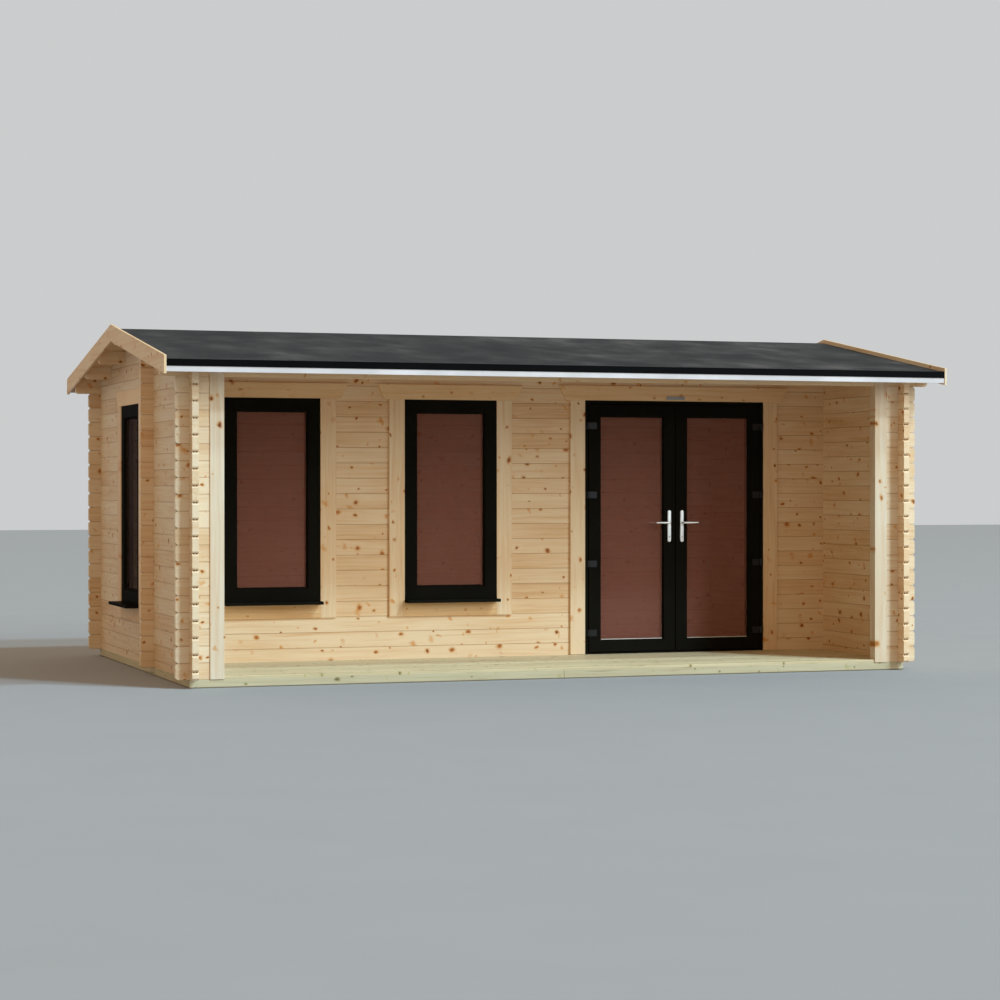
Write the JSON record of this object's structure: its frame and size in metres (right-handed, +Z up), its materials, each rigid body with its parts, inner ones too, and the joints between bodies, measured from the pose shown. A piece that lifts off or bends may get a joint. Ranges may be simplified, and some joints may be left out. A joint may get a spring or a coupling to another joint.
{
  "type": "log cabin with a roofed porch",
  "caption": "Log cabin of interlocking machined logs with a low pitched roof, a recessed front under a roofed porch, black framed windows and outward opening double doors.",
  "frame": {"origin": "on the ground, under the middle of the ridge, at the bottom centre of the bounding box", "axes": "+X to the right along the front, +Y from the porch to the rear wall, +Z up"},
  "size_m": [5.848, 3.982, 2.5607],
  "materials": {
    "spruce": "planed, untreated",
    "treated_timber": "pressure treated",
    "glass": "clear sealed unit",
    "hinge": "satin black",
    "handle": "polished",
    "black_frame": "satin",
    "roof_membrane": "smooth matt",
    "edge_trim": "satin",
    "fascia": "gloss"
  },
  "bodies": {
    "cabin": {"bottom_trims": "spruce", "cross_bearers": "treated_timber", "door_frame": "black_frame", "eave_beams": "spruce", "eave_edge_trims": "edge_trim", "eave_fascias": "fascia", "floor_joists": "treated_timber", "front_roof_boards": "spruce", "front_wall_even_logs": "spruce", "front_wall_odd_logs": "spruce", "head_trims": "spruce", "hinge_frame_halves": "hinge", "jamb_trims": "spruce", "left_front_barge_board": "spruce", "left_gable_even_logs": "spruce", "left_gable_odd_logs": "spruce", "left_rear_barge_board": "spruce", "porch_deck": "treated_timber", "rear_roof_boards": "spruce", "rear_wall_even_logs": "spruce", "rear_wall_odd_logs": "spruce", "right_front_barge_board": "spruce", "right_gable_even_logs": "spruce", "right_gable_odd_logs": "spruce", "right_rear_barge_board": "spruce", "roof_membrane": "roof_membrane", "roof_purlins": "spruce", "room_floor": "spruce", "side_bearers": "treated_timber", "window_beads": "black_frame", "window_frames": "black_frame", "window_panes": "glass", "window_sills": "black_frame", "wing_even_logs": "spruce", "wing_odd_logs": "spruce", "wing_posts": "spruce"},
    "left_door": {"left_door_bead": "black_frame", "left_door_handle_plates": "handle", "left_door_hinge_leaves": "hinge", "left_door_pane": "glass", "left_door_sash": "black_frame"},
    "left_lever": {"left_lever": "handle"},
    "right_door": {"right_door_bead": "black_frame", "right_door_handle_plates": "handle", "right_door_hinge_leaves": "hinge", "right_door_pane": "glass", "right_door_sash": "black_frame"},
    "right_lever": {"right_lever": "handle"}
  },
  "joints": [
    {"name": "left_door_swing", "type": "hinge", "parent": "cabin", "child": "left_door", "pos_m": [0.652, -0.524, 1.0475], "axis": [0, 0, -1], "range_deg": [0, 100]},
    {"name": "right_door_swing", "type": "hinge", "parent": "cabin", "child": "right_door", "pos_m": [2.104, -0.524, 1.0475], "axis": [0, 0, 1], "range_deg": [0, 100]},
    {"name": "left_lever_turn", "type": "hinge", "parent": "left_door", "child": "left_lever", "pos_m": [1.325, -0.515, 1.085], "axis": [0, -1, 0], "range_deg": [0, 40], "stiffness_Nm_per_rad": 1.5, "springref_deg": -34.38},
    {"name": "right_lever_turn", "type": "hinge", "parent": "right_door", "child": "right_lever", "pos_m": [1.431, -0.515, 1.085], "axis": [0, 1, 0], "range_deg": [0, 40], "stiffness_Nm_per_rad": 1.5, "springref_deg": -34.38}
  ]
}
